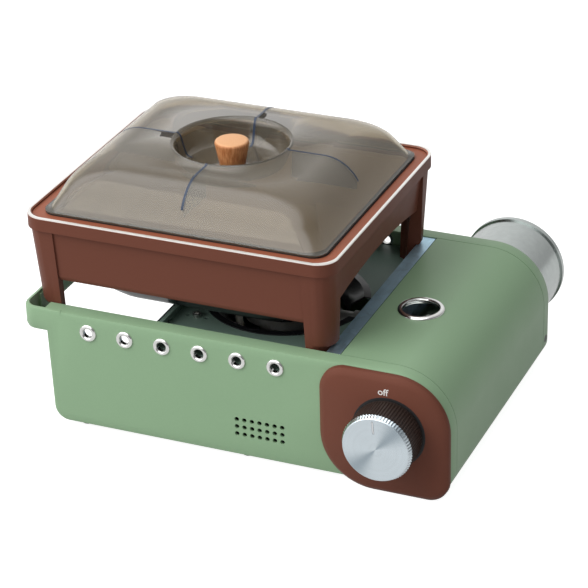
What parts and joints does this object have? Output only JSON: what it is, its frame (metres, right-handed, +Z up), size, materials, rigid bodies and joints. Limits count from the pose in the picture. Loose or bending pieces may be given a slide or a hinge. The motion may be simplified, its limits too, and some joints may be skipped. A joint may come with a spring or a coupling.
{
  "type": "butane cassette stove with pan",
  "caption": "Portable gas stove with a turn knob, side bay for a slide-in gas cartridge, lift-off deep pan on four legs and clear lid with a wooden knob.",
  "frame": {"origin": "middle of the object's outline in plan, at the bottom of the feet", "axes": "+Z up, -Y towards the knob side, +X to the right seen from the knob side"},
  "size_m": [0.283, 0.257, 0.1695],
  "materials": {
    "green_paint": "satin",
    "brown_paint": "satin",
    "black_enamel": "satin",
    "galvanised_steel": "satin",
    "chrome_trim": "polished",
    "rim_trim": "satin",
    "black_rubber": "matt",
    "black_plastic": "matt",
    "spun_aluminium": "turned",
    "cast_alloy": "cast",
    "dark_iron": "matt",
    "magnet": "matt",
    "brass_parts": "satin",
    "plated_steel": "plated",
    "black_steel": "matt",
    "wire_insulation": "matt",
    "white_ceramic": "matt",
    "tinplate": "gloss",
    "smoked_glass": "clear, smoked",
    "beech": "satin"
  },
  "bodies": {
    "stove": {"front_panel": "green_paint", "rear_panel": "green_paint", "left_rail": "green_paint", "chassis": "galvanised_steel", "partition": "galvanised_steel", "drip_tray": "green_paint", "cartridge_cover": "green_paint", "sight_ring": "chrome_trim", "front_eyelets": "chrome_trim", "rear_eyelets": "chrome_trim", "knob_panel": "brown_paint", "valve_plate": "galvanised_steel", "regulator": "cast_alloy", "inlet_magnet": "magnet", "inlet_seal": "black_rubber", "gas_pipe": "brass_parts", "jet_holder": "brass_parts", "mixing_tube": "cast_alloy", "burner_head": "cast_alloy", "burner_cap": "dark_iron", "burner_stand": "galvanised_steel", "burner_bowl": "black_enamel", "piezo_igniter": "black_plastic", "electrode": "white_ceramic", "electrode_clip": "galvanised_steel", "ignition_wire": "wire_insulation", "wire_grommet": "black_rubber", "cartridge_cradle": "galvanised_steel", "rubber_feet": "black_rubber", "tray_bolts": "plated_steel", "base_screws": "plated_steel", "valve_screws": "plated_steel", "side_screw": "black_steel"},
    "knob": {"knob_skirt": "black_plastic", "knob_face": "spun_aluminium", "valve_spindle": "brass_parts"},
    "needle": {"valve_needle": "brass_parts"},
    "cartridge": {"cartridge_shell": "tinplate", "cartridge_base": "tinplate", "cartridge_dome": "tinplate", "cartridge_collar": "tinplate", "cartridge_valve": "brass_parts"},
    "pan": {"pan_frame": "brown_paint", "rim_bead": "rim_trim", "vessel": "black_enamel"},
    "lid": {"lid_shell": "smoked_glass", "lid_seal": "black_rubber", "lid_knob": "beech", "lid_screw": "plated_steel", "lid_washer": "plated_steel"}
  },
  "joints": [
    {"name": "knob_turn", "type": "hinge", "parent": "stove", "child": "knob", "pos_m": [0.1045, -0.1205, 0.0443], "axis": [0, -1, 0], "range_deg": [0, 200]},
    {"name": "needle_feed", "type": "slide", "parent": "stove", "child": "needle", "axis": [0, -1, 0], "range_m": [0, 0.00082]},
    {"name": "cartridge_slide", "type": "slide", "parent": "stove", "child": "cartridge", "axis": [0, 1, 0], "range_m": [0, 0.2]},
    {"name": "pan_lift", "type": "slide", "parent": "stove", "child": "pan", "axis": [0, 0, 1], "range_m": [0, 0.12]},
    {"name": "lid_lift", "type": "slide", "parent": "pan", "child": "lid", "axis": [0, 0, 1], "range_m": [0, 0.1]}
  ],
  "couplings": [
    {"joint": "needle_feed", "follows": "knob_turn", "m_per_rad": 0.00022918}
  ]
}
